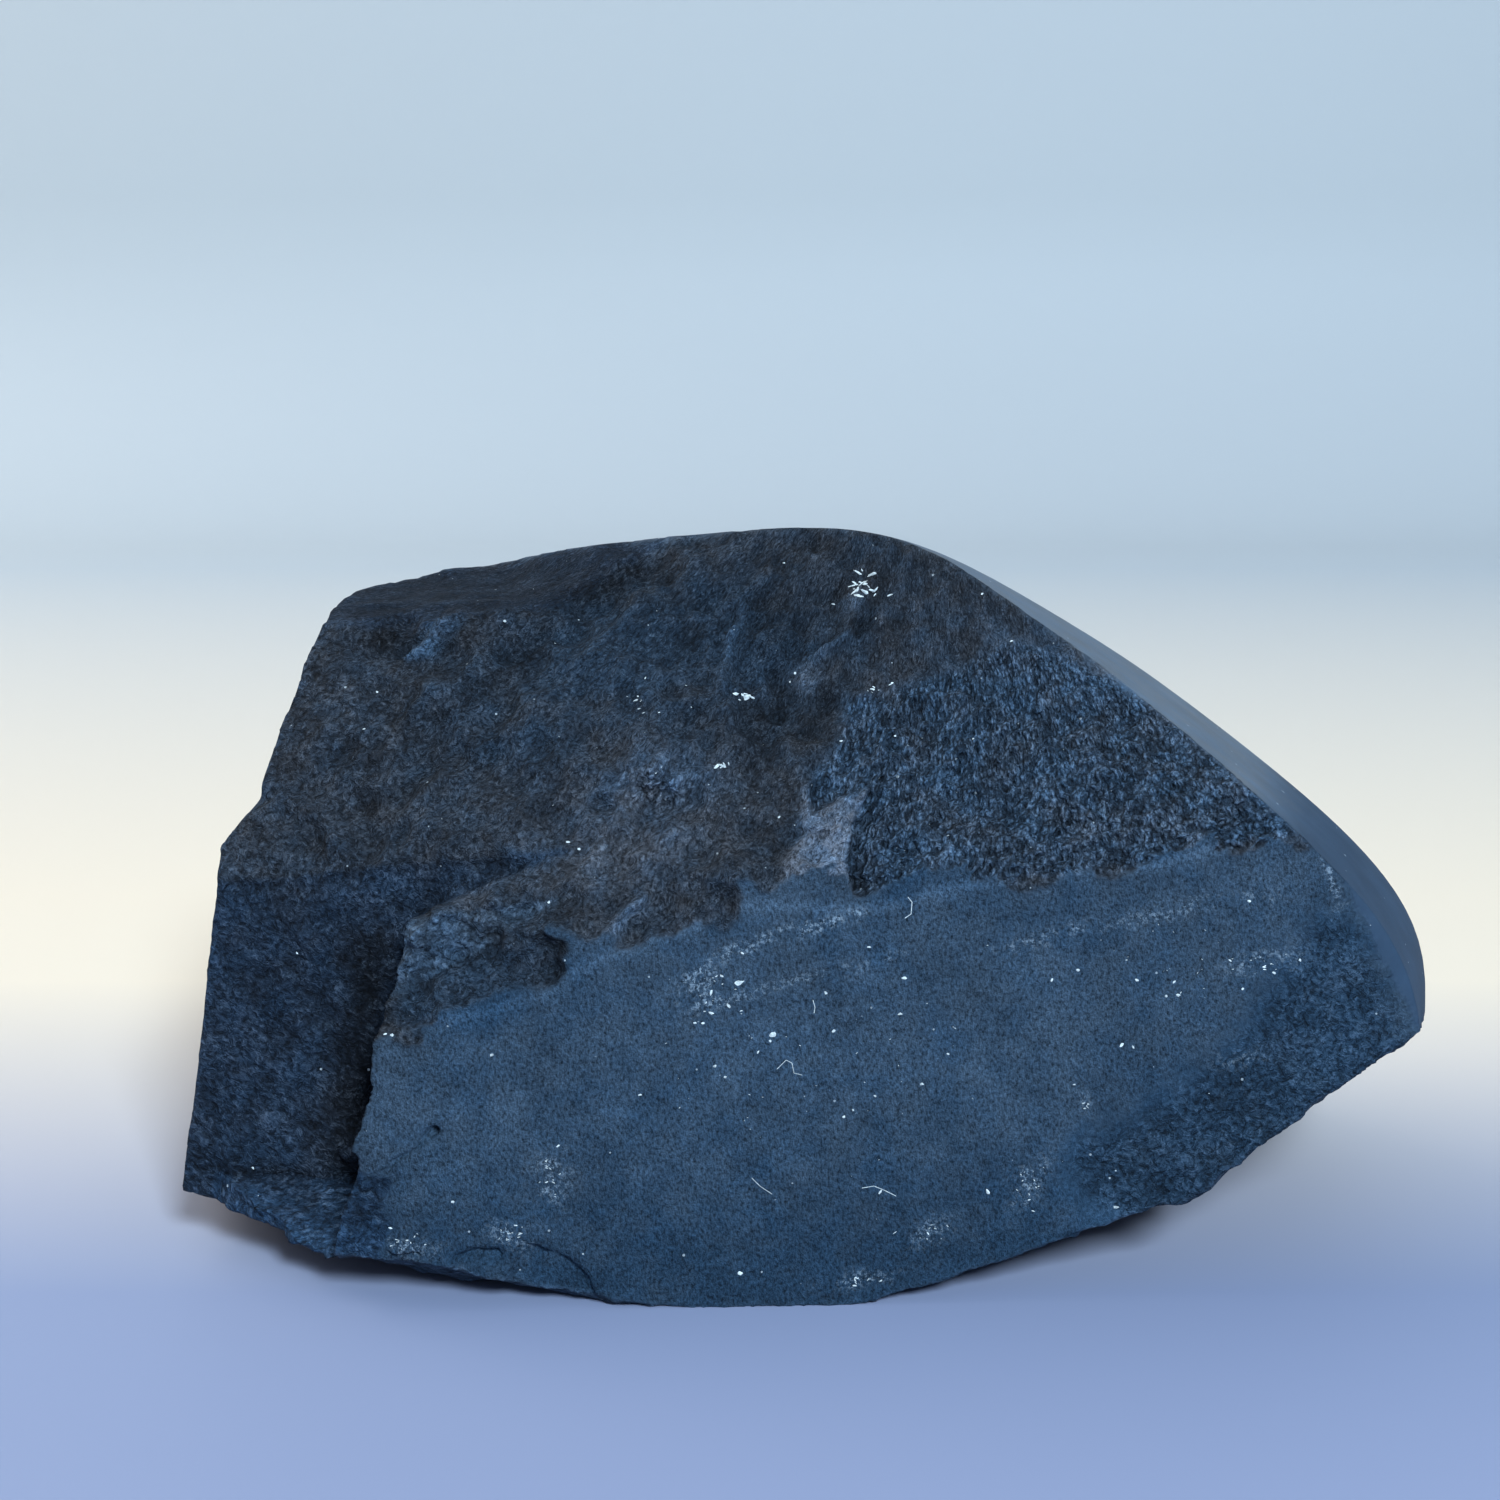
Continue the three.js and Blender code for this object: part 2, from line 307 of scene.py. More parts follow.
# Bumps (+) and hollows (-), in millimetres. Places are in pixels.
BREAK_MARKS = {
    "top edge, left part": (0.9, Streak([(450, 566), (520, 556), (600, 548)], 16)),
    "upper left corner": (-0.8, Oval((337, 592), 16, 12, -25)),
    "pit at the upper left": (-2.1, Oval((390, 634), 32, 15, -8)),
    "facet beside the pit": (0.9, PIT_FACET),
    "rim above the pit": (0.5, Streak([(345, 612), (430, 606), (520, 612)], 10)),
    "valley below the top": (-1.2, Streak([(650, 570), (580, 600), (535, 640), (500, 700)], 26)),
    "back of the valley": (0.9, Streak([(690, 570), (640, 610), (600, 680)], 24)),
    "hollow left of the middle": (-0.7, Oval((600, 700), 46, 16, 25)),
    "scarred bump": (0.8, Oval((655, 765), 46, 24, 10)),
    "scar": (-0.8, Oval((655, 806), 46, 16, 5)),
    "small scar": (-0.6, Oval((606, 808), 16, 8, 0)),
    "flat hollow": (-1.2, FLAT_HOLLOW),
    "lip of the flat hollow": (0.5, Streak([(736, 692), (733, 716), (742, 740)], 6)),
    "ridge below the top": (1.2, Streak([(866, 596), (845, 632), (818, 662)], 7)),
    "ridge's lower end": (0.4, Streak([(818, 662), (806, 715), (800, 785)], 10)),
    "hollow left of the ridge": (-1.3, Streak([(838, 600), (806, 640), (780, 672)], 16)),
    "thin ridge": (0.7, Streak([(742, 600), (730, 645), (722, 690)], 6)),
    "dark spot": (-0.9, DARK_SPOT),
    "dark lobe": (0.5, Oval((735, 868), 60, 28, -12)),
    "hollow above the lobe": (-0.3, Streak([(640, 905), (690, 862), (740, 832), (790, 818)], 12)),
    "light facet": (0.9, LIGHT_FACET),
    "pit beside the light facet": (-1.5, Oval((862, 886), 12, 13, 8)),
    "groove beside the light facet": (-0.8, Streak([(872, 792), (862, 850)], 6)),
    "foot of the light facet": (0.5, Oval((812, 898), 36, 7, -10)),
    "small pit": (-0.5, Oval((532, 778), 5, 4, 0)),
    "corner of the slab": (-0.4, Oval((424, 906), 14, 18, 30)),
    "line of the brow": (0.6, Streak([(420, 937), (444, 912), (473, 918), (511, 925), (573, 934)], 8)),
    "hollow under the line": (-1.0, Oval((480, 972), 58, 26, -8)),
    "curled hollow": (-1.0, Oval((549, 970), 16, 26, 10)),
    "curled lip": (0.9, Streak([(560, 925), (578, 940), (580, 962), (568, 996)], 6)),
    "spur": (1.1, SPUR),
    "wedge below the spur": (-0.8, Patch([(606, 950), (632, 928), (650, 920), (640, 940)], 9)),
    "crease above the recess": (-0.5, Streak([(235, 885), (330, 878), (430, 862), (515, 868)], 12)),
    "step on the left outline": (-0.6, Oval((262, 800), 16, 8, -40)),
    "chip in the recess": (0.5, Oval((314, 938), 7, 11, 0)),
    "nose of the slab": (0.9, Oval((358, 1146), 14, 14, 0)),
    "bay above the nose": (-1.3, Oval((370, 1102), 16, 24, 0)),
}
SAWN_MARKS = {
    "rough corner": (-0.4, ROUGH_CORNER),
    "lower left ledge": (-0.8, LOWER_LEFT_LEDGE),
    "crack": (-0.8, Streak(CRACK, 2.6)),
    "pit of the crack": (-2.0, Oval((427, 1137), 8, 5, -40)),
    "top left border": (-0.35, Streak([(384, 1036), (440, 1028)], 4)),
    "chipped edge": (-1.0, Patch([(526, 1247), (560, 1255), (590, 1283), (600, 1310), (500, 1290)], 5)),
    "notch": (-1.2, Streak([(458, 1262), (476, 1255), (494, 1257)], 6)),
    "gap of the thin lip": (-1.0, Streak([(383, 1257), (415, 1257)], 3)),
    "lower right nick": (-1.6, Oval((1085, 1246), 20, 10, 0)),
    "edge of the light band": (-0.4, Streak([(1083, 1120), (1080, 1175), (1092, 1215)], 5)),
}

# Sizes of the small relief, in millimetres.
RELIEF_WAVES = (16, 7, 3.2, 1.2)
GRAIN_SIZE, GRAIN_HEIGHT = 0.5, 0.5
BLOCK_SIZE, BLOCK_HEIGHT = 2.2, 0.6
RELIEF_HEIGHTS = {
    "grainy": (1.0, 0.8, 0.7, 0.45),
    "smooth": (1.2, 0.9, 0.7, 0.40),
    "side": (0.4, 0.15, 0.10, 0.06),
    "brow": (0.4, 0.5, 0.6, 0.4),
    "recess": (0.8, 0.4, 0.3, 0.15),
    "ledge": (0.6, 0.8, 0.8, 0.35),
    "under": (0.6, 0.6, 0.4, 0.3),
}
SAW_HEIGHT, SAW_LENGTH = 0.02, 1.2
SAW_STRETCH = (1, 1, 0.25)
ROUGH_WAVE_HEIGHT, ROUGH_WAVE_LENGTH = 0.3, 5
ROUGH_RIDGE_HEIGHT, ROUGH_RIDGE_SIZE = 0.55, 1.9
ROUGH_DEPTH = 0.25

# How far drawn things are shifted to make them uneven, and the length of the shifts.
SWEEP_SHIFT, SWEEP_LENGTH = 1.5, 9
STROKE_SHIFT = 0.5
MARK_SHIFT, SAWN_SHIFT, PAINT_SHIFT = 7, 4, 5  # pixels
SHIFT_LENGTH = 3

PIXELS_PER_MM = 10.3
FAN_MIDDLE = (930, 330)  # pixels
FAN_RADIUS = 38  # millimetres from there the strokes have their own width
STROKE_STRETCH = 2.2
FLATTENING = 0.4  # how much height counts for the strokes' depth
CALM_EDGE = Streak([(330, 605), (262, 790), (225, 880), (205, 1000), (193, 1170)], 65)
CALM = 0.7  # the share of the relief that is gone along the calm edge


def along_the_grain(points):
    """Millimetres across and along the strokes of the broken faces, which fan out from above the peak."""
    at = (seen(points) - FAN_MIDDLE) / PIXELS_PER_MM
    turn, away = np.arctan2(at[:, 0], at[:, 1]), np.linalg.norm(at, axis=1)
    return np.stack([turn * FAN_RADIUS, away / STROKE_STRETCH, points[:, 1] - FLATTENING * points[:, 2]], 1)


def relief_of_breaks(points, heights):
    """Outward relief of the broken faces, in millimetres. Heights has a column for each wave."""
    at = seen(points)
    swept = points + SWEEP_SHIFT * wobble(points, SWEEP_LENGTH, seed=3)
    strokes = along_the_grain(points + STROKE_SHIFT * wobble(points, SHIFT_LENGTH, seed=10))
    relief = heights[:, 0] * waves(swept, RELIEF_WAVES[0], seed=6)
    for column, place in ((1, swept), (2, swept), (3, strokes)):
        relief += heights[:, column] * ridges(place, RELIEF_WAVES[column], seed=6 + column)
    grainy = np.maximum(COARSE_ZONE.on(at), SCARRED_BUMP.on(at))
    relief += grainy * GRAIN_HEIGHT * ridges(strokes, GRAIN_SIZE, seed=13)
    relief += BLOCKY_ZONE.on(at) * BLOCK_HEIGHT * ridges(swept, BLOCK_SIZE, seed=14)
    return relief + total_of(BREAK_MARKS, at + MARK_SHIFT * wobble(points, SHIFT_LENGTH, seed=1)[:, :2])


def relief_of_sawn(points):
    """Outward relief of the sawn face, in millimetres."""
    at = seen(points) + SAWN_SHIFT * wobble(points, SHIFT_LENGTH, seed=21)[:, :2]
    relief = SAW_HEIGHT * waves(points * SAW_STRETCH, SAW_LENGTH, seed=23) + total_of(SAWN_MARKS, at)
    rough = ROUGH_WAVE_HEIGHT * waves(points, ROUGH_WAVE_LENGTH, seed=24) - ROUGH_DEPTH
    rough += ROUGH_RIDGE_HEIGHT * scoops(points, ROUGH_RIDGE_SIZE, seed=25)
    return relief + rough * np.maximum(ROUGH_CORNER.on(at), LOWER_LEFT_LEDGE.on(at))


# ---- Mesh ----
EDGE_LENGTHS = {  # millimetres
    "skin": 3.0, "end": 1.5, "sawn": 1.5, "grainy": 0.6, "smooth": 0.6, "side": 1.1, "brow": 0.5,
    "recess": 0.85, "ledge": 0.65, "under": 1.5, "rest": 4.0,
}
GRAIN_LENGTH = 0.3  # in the coarse zone
CRACK_LENGTH = 0.4
NEAR_THE_CRACK = Streak(CRACK, 16)
BORDER_LENGTH = 0.55  # near the border of the sawn face
BORDER_WIDTH = 2.0
FIRST_BALL = 5  # subdivisions
FIRST_STRETCH = (60, 32, 34)
REFINING_ROUNDS = 8
WIDENING_ROUNDS = 4
RELAXING_ROUNDS = 4

NEAR_THE_SAWN_FACE = 5  # millimetres
STEEPEST = 0.45  # cosine of the steepest angle between a ray and the flat it meets
LEAN_ROUNDS = 12
HEIGHT_ROUNDS = 6
END_WAVE_HEIGHT, END_WAVE_LENGTH = 0.12, 2.5


def is_one_of(look, *names):
    return np.isin(look, [LOOKS.index(name) for name in names])


def flat_looks(flat):
    return np.array([LOOKS.index(f.look) for f in FLATS])[flat]


def unit(v):
    return v / np.linalg.norm(v, axis=1)[:, None]


def smooth_lump(rays):
    """The lump without its relief: how far along each ray, the look, and the gap to the sawn border."""
    broken, flat = broken_reach(rays)
    looks = flat_looks(flat)
    whole = [skin_reach(rays), SAWN.reach(rays), END.reach(rays), REST.reach(rays)]
    names = [LOOKS.index(name) for name in ("skin", "sawn", "end", "rest")]
    choices = [(broken, looks)] + [(r, np.full(len(rays), n)) for r, n in zip(whole, names)]
    reach, look = pick(choices, np.argmin)
    return reach, look, np.abs(np.minimum(broken, whole[0]) - whole[1])


def sides_of(faces):
    """The mesh's sides, each once, and the number of each face's three sides."""
    sides = np.sort(np.stack([faces, np.roll(faces, -1, axis=1)], axis=2).reshape(-1, 2), axis=1)
    sides, which = np.unique(sides, axis=0, return_inverse=True)
    return sides, which.reshape(-1, 3)


def split(faces, sides, which, long, count):
    """Halves the long sides and cuts each face to suit. New vertices are numbered from count."""
    middles = np.full(len(sides), -1)
    middles[long] = count + np.arange(long.sum())
    marks = long[which]
    pieces = [faces[~marks.any(axis=1)]]
    for turn in range(3):
        (a, b, c), (ab, bc, ca) = np.roll(faces, -turn, axis=1).T, np.roll(middles[which], -turn, axis=1).T
        first, second, third = np.roll(marks, -turn, axis=1).T
        one = first & ~second & ~third
        two = first & second & ~third
        pieces += [np.stack(t, 1)[one] for t in ((a, ab, c), (ab, b, c))]
        pieces += [np.stack(t, 1)[two] for t in ((a, ab, bc), (ab, b, bc), (a, bc, c))]
        if turn == 0:
            every = first & second & third
            corners = ((a, ab, ca), (ab, b, bc), (ca, bc, c), (ab, bc, ca))
            pieces += [np.stack(t, 1)[every] for t in corners]
    return np.concatenate(pieces)


def spread(values, sides, rounds):
    """Averages each vertex's values with its neighbours'."""
    ones = np.zeros(len(values))
    np.add.at(ones, sides.ravel(), 1)
    for _ in range(rounds):
        total = np.zeros_like(values)
        np.add.at(total, sides[:, 0], values[sides[:, 1]])
        np.add.at(total, sides[:, 1], values[sides[:, 0]])
        values = 0.5 * values + 0.5 * total / (ones[:, None] if values.ndim > 1 else ones)
    return values


def cover_the_lump():
    """Rays and faces of a mesh that is fine where the stone is rough and coarse where it is smooth."""
    ball = bmesh.new()
    bmesh.ops.create_icosphere(ball, subdivisions=FIRST_BALL, radius=1)
    rays = unit(np.array([v.co for v in ball.verts]) * FIRST_STRETCH)
    faces = np.array([[v.index for v in f.verts] for f in ball.faces])
    ball.free()
    wanted = np.array([EDGE_LENGTHS[name] for name in LOOKS])
    for _ in range(REFINING_ROUNDS):
        points = rays * smooth_lump(rays)[0][:, None]
        sides, which = sides_of(faces)
        middles = unit(points[sides].mean(axis=1))
        reach, look, gap = smooth_lump(middles)
        most = np.where(gap < BORDER_WIDTH, np.minimum(wanted[look], BORDER_LENGTH), wanted[look])
        at = seen(HEART + middles * reach[:, None])
        coarse = is_one_of(look, "grainy", "smooth") & (COARSE_ZONE.on(at) > 0.5)
        most = np.where(coarse, GRAIN_LENGTH, most)
        most = np.where(is_one_of(look, "sawn") & (NEAR_THE_CRACK.on(at) > 0.5), CRACK_LENGTH, most)
        length = np.linalg.norm(points[sides[:, 0]] - points[sides[:, 1]], axis=1)
        long = length > most
        if not long.any():
            break
        for _ in range(WIDENING_ROUNDS):  # the longest side of a cut face is cut too
            cut = long[which].any(axis=1)
            long[which[cut, np.argmax(length[which[cut]], axis=1)]] = True
        faces = split(faces, sides, which, long, len(rays))
        rays = np.concatenate([rays, middles[long]])
    sides, _ = sides_of(faces)
    for _ in range(RELAXING_ROUNDS):
        points = rays * smooth_lump(rays)[0][:, None]
        rays = unit(spread(points, sides, 1))
    return rays, faces, sides


def shape_the_stone():
    """Points in millimetres in the working frame, faces, and what lies where."""
    rays, faces, sides = cover_the_lump()
    broken, flat = broken_reach(rays)
    looks = flat_looks(flat)
    facing = np.array([f.normal for f in FLATS])[flat]
    lean = np.maximum(STEEPEST, np.einsum("ij,ij->i", facing, rays))
    lean_away = spread(1 / lean, sides, LEAN_ROUNDS)
    heights = np.array([RELIEF_HEIGHTS[f.look] for f in FLATS])[flat]
    heights = spread(heights, sides, HEIGHT_ROUNDS)
    bare = HEART + rays * broken[:, None]
    fine = is_one_of(looks, "grainy", "smooth") & (COARSE_ZONE.on(seen(bare)) < 0.5)
    heights[:, 3] *= np.where(fine, FINE_ZONE_RELIEF, 1)
    heights *= 1 - CALM * CALM_EDGE.on(seen(bare))[:, None]
    broken = broken + relief_of_breaks(bare, heights) * lean_away
    sawn = SAWN.reach(rays)
    close = sawn < np.minimum(broken + NEAR_THE_SAWN_FACE, FAR)
    sawn[close] += relief_of_sawn(HEART + rays[close] * sawn[close, None])
    end = END.reach(rays)
    end += END_WAVE_HEIGHT * waves(HEART + rays * end[:, None], END_WAVE_LENGTH, seed=26)
    others = [(skin_reach(rays), "skin"), (sawn, "sawn"), (end, "end"), (REST.reach(rays), "rest")]
    choices = [(broken, looks)] + [(r, np.full(len(rays), LOOKS.index(n))) for r, n in others]
    reach, look = pick(choices, np.argmin)
    points = HEART + rays * reach[:, None]
    lowered = is_one_of(look, "sawn") & (LOWER_LEFT_LEDGE.on(seen(points)) > 0.5)
    look[lowered] = LOOKS.index("ledge")
    return points, faces, sides, look


# ---- Colours ----
# Each look has a bluish and a brownish colour, the share of the second, the grit (0 to 1) and a roughness.
FINISHES = {
    # The ground skin's colours are lighter partly as a painted reflection of the grazing sheen along the
    # flank band.
    "skin": ((0.080, 0.125, 0.176), (0.103, 0.118, 0.134), 0.5, 0.0, 0.45),
    "end": ((0.033, 0.061, 0.099), (0.035, 0.060, 0.094), 0.5, 0.0, 0.75),
    "sawn": ((0.024, 0.055, 0.093), (0.048, 0.078, 0.111), 0.75, 0.1, 0.78),
    "grainy": ((0.0200, 0.0365, 0.057), (0.027, 0.0305, 0.036), 0.65, 0.15, 0.75),
    "smooth": ((0.0200, 0.0365, 0.057), (0.027, 0.0305, 0.036), 0.65, 0.15, 0.75),
    "side": ((0.017, 0.036, 0.064), (0.019, 0.028, 0.042), 0.5, 0.10, 0.80),
    "brow": ((0.043, 0.080, 0.125), (0.042, 0.056, 0.072), 0.8, 0.50, 0.75),
    "recess": ((0.0145, 0.029, 0.050), (0.017, 0.023, 0.033), 0.35, 0.25, 0.80),
    "ledge": ((0.020, 0.046, 0.084), (0.024, 0.034, 0.052), 0.2, 0.45, 0.80),
    "under": ((0.036, 0.062, 0.096), (0.036, 0.046, 0.058), 0.5, 0.50, 0.80),
    "rest": ((0.048, 0.080, 0.120), (0.048, 0.060, 0.075), 0.3, 0.40, 0.80),
}
SAWN_BORDER = Streak([(385, 1030), (500, 1010), (560, 985), (590, 962), (640, 945), (740, 905), (850, 912),
                      (1000, 882), (1130, 868), (1280, 838)], 6)

BROWN_TOP = Patch([(860, 600), (940, 560), (1010, 630), (960, 665), (880, 690), (840, 680)], 10)
# Painted shadow: the recess darker and browner along the slab's left edge.
SHADOW_BESIDE_THE_SLAB = Streak([(372, 960), (366, 1060), (345, 1140)], 28)
# Painted shade: the sawn face darker and bluer towards the bottom.
SHADED_LOWER_PART = Patch([(380, 1230), (700, 1210), (1000, 1180), (1250, 1100), (1420, 1100), (1000, 1400),
                    (380, 1400)], 100)

# How much lighter (above 0) or darker (below 0) parts of the viewer's side are: the stone's tone, painted
# shade and highlights.
BREAK_SHADES = {
    "crushed border": (0.5, SAWN_BORDER),
    "coarse zone": (1.7, COARSE_ZONE),
    "upper left": (-0.15, Oval((420, 720), 100, 100)),
    "brown top": (0.25, BROWN_TOP),
    "middle": (1.35, MIDDLE_FACE),
    # Partly a lighter facet of smooth cleavage, partly a painted highlight of its sheen.
    "light facet": (2.15, LIGHT_FACET),
    # Painted highlight along the ridge of the spur.
    "spur": (1.6, SPUR),
    "scarred bump": (2.7, SCARRED_BUMP),
    # Painted highlights on the ridges and facets near the top, painted shade in the hollows and streaks
    # between them.
    "ridge below the top": (1.0, Streak([(858, 592), (845, 612), (826, 632), (812, 655), (802, 685)], 5)),
    "thin ridge": (0.7, Streak([(742, 600), (730, 645), (722, 690)], 4)),
    "facet below the ridge": (0.6, Oval((808, 680), 16, 22, 10)),
    "facet right of the top": (0.4, Oval((905, 608), 34, 11, -22)),
    "dark streak below the flakes": (-0.6, Streak([(838, 612), (870, 628), (900, 622)], 5)),
    "dark between the ridges": (-0.4, Oval((775, 625), 28, 36, 15)),
    "dark left of the thin ridge": (-0.35, Oval((690, 640), 22, 34, 10)),
    # Painted reflection: the grazing sheen near the flank band.
    "painted sheen near the flank band": (0.8, Oval((1050, 665), 55, 38, 35)),
    "dark lobe": (-0.25, Oval((735, 868), 55, 26, -12)),
    # Painted shadow of the slab in the recess.
    "painted shadow beside the slab": (-0.7, SHADOW_BESIDE_THE_SLAB),
    # Painted shade in the curled hollow.
    "curled hollow": (-0.6, Streak([(556, 935), (570, 962), (556, 994)], 11)),
    # Painted highlight along the lit top edge of the brow.
    "painted highlight along the top of the brow": (0.3, Streak([(430, 925), (470, 900), (540, 890)], 18)),
    # Painted shade on faces that look up: the top of the ledge and the sliver at the top left.
    "painted shade on the top of the ledge": (-0.35, Patch([(200, 1165), (385, 1172), (385, 1215), (300, 1215)], 12)),
    "painted shade on the sliver at the top left": (-0.4, Patch([(320, 615), (520, 612), (640, 580), (640, 540), (320, 590)], 8)),
    # Painted shade in hollows, pits and a valley; a painted highlight on the facet beside the pit.
    "flat hollow": (-0.35, FLAT_HOLLOW),
    "dark spot": (-0.5, DARK_SPOT),
    "pit at the upper left": (-0.75, Oval((386, 634), 28, 15, -8)),
    "facet beside the pit": (0.9, PIT_FACET),
    "dark valley": (-0.4, Streak([(640, 585), (560, 610), (520, 665)], 16)),
    "pit beside the light facet": (-0.6, Oval((862, 880), 9, 18, 8)),
}
SAWN_SHADES = {
    "crushed border": (0.5, SAWN_BORDER),
    "rough corner": (-0.28, ROUGH_CORNER),
    # Painted highlight: a soft sheen over the middle of the sawn face.
    "middle": (0.12, Oval((800, 1080), 220, 90)),
    # Painted shade, darker towards the bottom.
    "lower part": (-0.12, SHADED_LOWER_PART),
    "light band, lower right": (0.25, Streak([(1072, 1122), (1070, 1190)], 10)),
    "light lobe, lower right": (0.25, Oval((1096, 1214), 34, 22, 0)),
}
# Where parts take more (above 0) or less (below 0) of the bluish colour. Some bluish patches stand partly
# for the cool light on faces turned to the front right: painted light.
BLUISH = {
    "middle": (-0.3, MIDDLE_FACE),
    "valley": (0.8, Oval((600, 655), 85, 62, -15)),
    "facet beside the pit": (1, PIT_FACET),
    "scarred bump": (0.1, SCARRED_BUMP),
    "rough corner": (1, ROUGH_CORNER),
    "left of the middle": (0.35, Oval((480, 745), 60, 40, 0)),
    "right of the top": (0.7, Oval((760, 640), 70, 50, 0)),
    "coarse zone": (0.4, COARSE_ZONE),
    "light facet": (-0.7, LIGHT_FACET),
    "spur": (0.2, SPUR),
    "crushed border": (-0.3, SAWN_BORDER),
    "front of the brow": (1.2, Oval((465, 990), 75, 38, -8)),
    # Painted shadow of the slab: browner in the recess.
    "painted shadow beside the slab": (-0.6, SHADOW_BESIDE_THE_SLAB),
    # Painted shade, bluer towards the bottom.
    "lower part of the sawn face": (0.75, SHADED_LOWER_PART),
}
GRITTY = {
    "coarse zone": (0.8, COARSE_ZONE),
    "light facet": (-0.8, LIGHT_FACET),
    "rough corner": (0.15, ROUGH_CORNER),
    "middle": (0.3, MIDDLE_FACE),
    "crushed border": (0.5, SAWN_BORDER),
    "scarred bump": (0.8, SCARRED_BUMP),
    "valley": (0.25, Oval((640, 640), 90, 60, -15)),
}
DUSTY = {
    "border of the end facet": (0.9, Streak([(1308, 832), (1328, 850), (1330, 885), (1345, 908)], 5)),
    "sweep, upper left": (1, Streak([(690, 975), (740, 947), (800, 930), (860, 915)], 7)),
    "sweep, right": (0.7, Streak([(1000, 950), (1100, 925), (1200, 905), (1280, 893)], 6)),
    "sweep, middle": (0.6, Streak([(700, 1005), (780, 985), (900, 955)], 5)),
    "scuff, left": (1, Oval((550, 1180), 16, 26, 10)),
    "scuff, lower left": (1, Oval((510, 1235), 22, 12, 20)),
    "scuff, lower middle": (0.8, Oval((1030, 1182), 12, 26, 25)),
    "scuff, bottom": (0.8, Oval((930, 1232), 22, 10, -35)),
    "scuff, bottom edge": (0.9, Oval((860, 1280), 30, 7, -10)),
    "scuff, right": (0.9, Oval((1262, 962), 32, 12, -10)),
    "scuff, right middle": (0.6, Oval((1236, 1058), 20, 7, -10)),
    "scuff, left of the middle": (0.8, Oval((700, 990), 20, 22, 0)),
    "scuff, lower left corner": (0.8, Oval((405, 1246), 26, 12, 0)),
    "scuff, right of the bottom": (0.6, Oval((1082, 1100), 8, 12, 0)),
}

END_FROM = 1240  # the ground skin is like the end facet from here on, to the right
END_FADE = 80
# Painted light and shade: broken faces lighter where they stand above their surroundings, darker in hollows.
CAVITY_ROUNDS = 16
CAVITY_SHADE = 0.7  # how much lighter a millimetre above the surroundings is
LOWEST, PROUDEST = -0.7, 0.5  # millimetres from the surroundings, past which the shade stays the same
DARKEST = -0.8


def paint(points, sides, look):
    """What the shader reads at each vertex: {name: values}."""
    at = seen(points) + PAINT_SHIFT * wobble(points, SHIFT_LENGTH, seed=31)[:, :2]
    sawn, ground = is_one_of(look, "sawn"), is_one_of(look, "skin", "end")
    broken = ~is_one_of(look, "sawn", "skin", "end", "under", "rest")
    blue, brown, share, grit, sheen = (np.array([FINISHES[n][i] for n in LOOKS])[look] for i in range(5))
    reach = np.linalg.norm(points - HEART, axis=1)
    proud = np.clip(reach - spread(reach, sides, CAVITY_ROUNDS), LOWEST, PROUDEST)
    lighter = total_of(BREAK_SHADES, at) * broken + total_of(SAWN_SHADES, at) * sawn
    shade = 1 + np.maximum(DARKEST, lighter)
    # Painted shade in the hollows and painted light on the ridges of the broken faces.
    shade = (shade * (1 + CAVITY_SHADE * proud * ~ground * ~sawn))[:, None]
    at_end = ease((at[:, 0] - END_FROM) / END_FADE) * is_one_of(look, "skin")
    paints = {"blue": blue, "brown": brown}
    for i, name in enumerate(paints):
        tone = paints[name] * shade
        tone += (FINISHES["end"][i] - tone) * at_end[:, None]
        paints[name] = np.column_stack([spread(tone, sides, 1), np.ones(len(tone))])
    return {
        **paints,
        "share": spread(np.clip(share - total_of(BLUISH, at) * ~ground, 0, 1), sides, 2),
        "grain": along_the_grain(points),
        "grit": spread(np.clip(grit + total_of(GRITTY, at) * (broken | sawn), 0, 1), sides, 1),
        "sawn": spread(sawn * (1 - ROUGH_CORNER.on(at)), sides, 1),
        "sheen": sheen + (FINISHES["end"][4] - sheen) * at_end,
        "dust": np.clip(total_of(DUSTY, at), 0, 1) * sawn,
        "ground": spread(ground.astype(float), sides, 1),
    }


# ---- The stone's shader ----
DIMMEST = 0.2  # the least factor that a noise gives


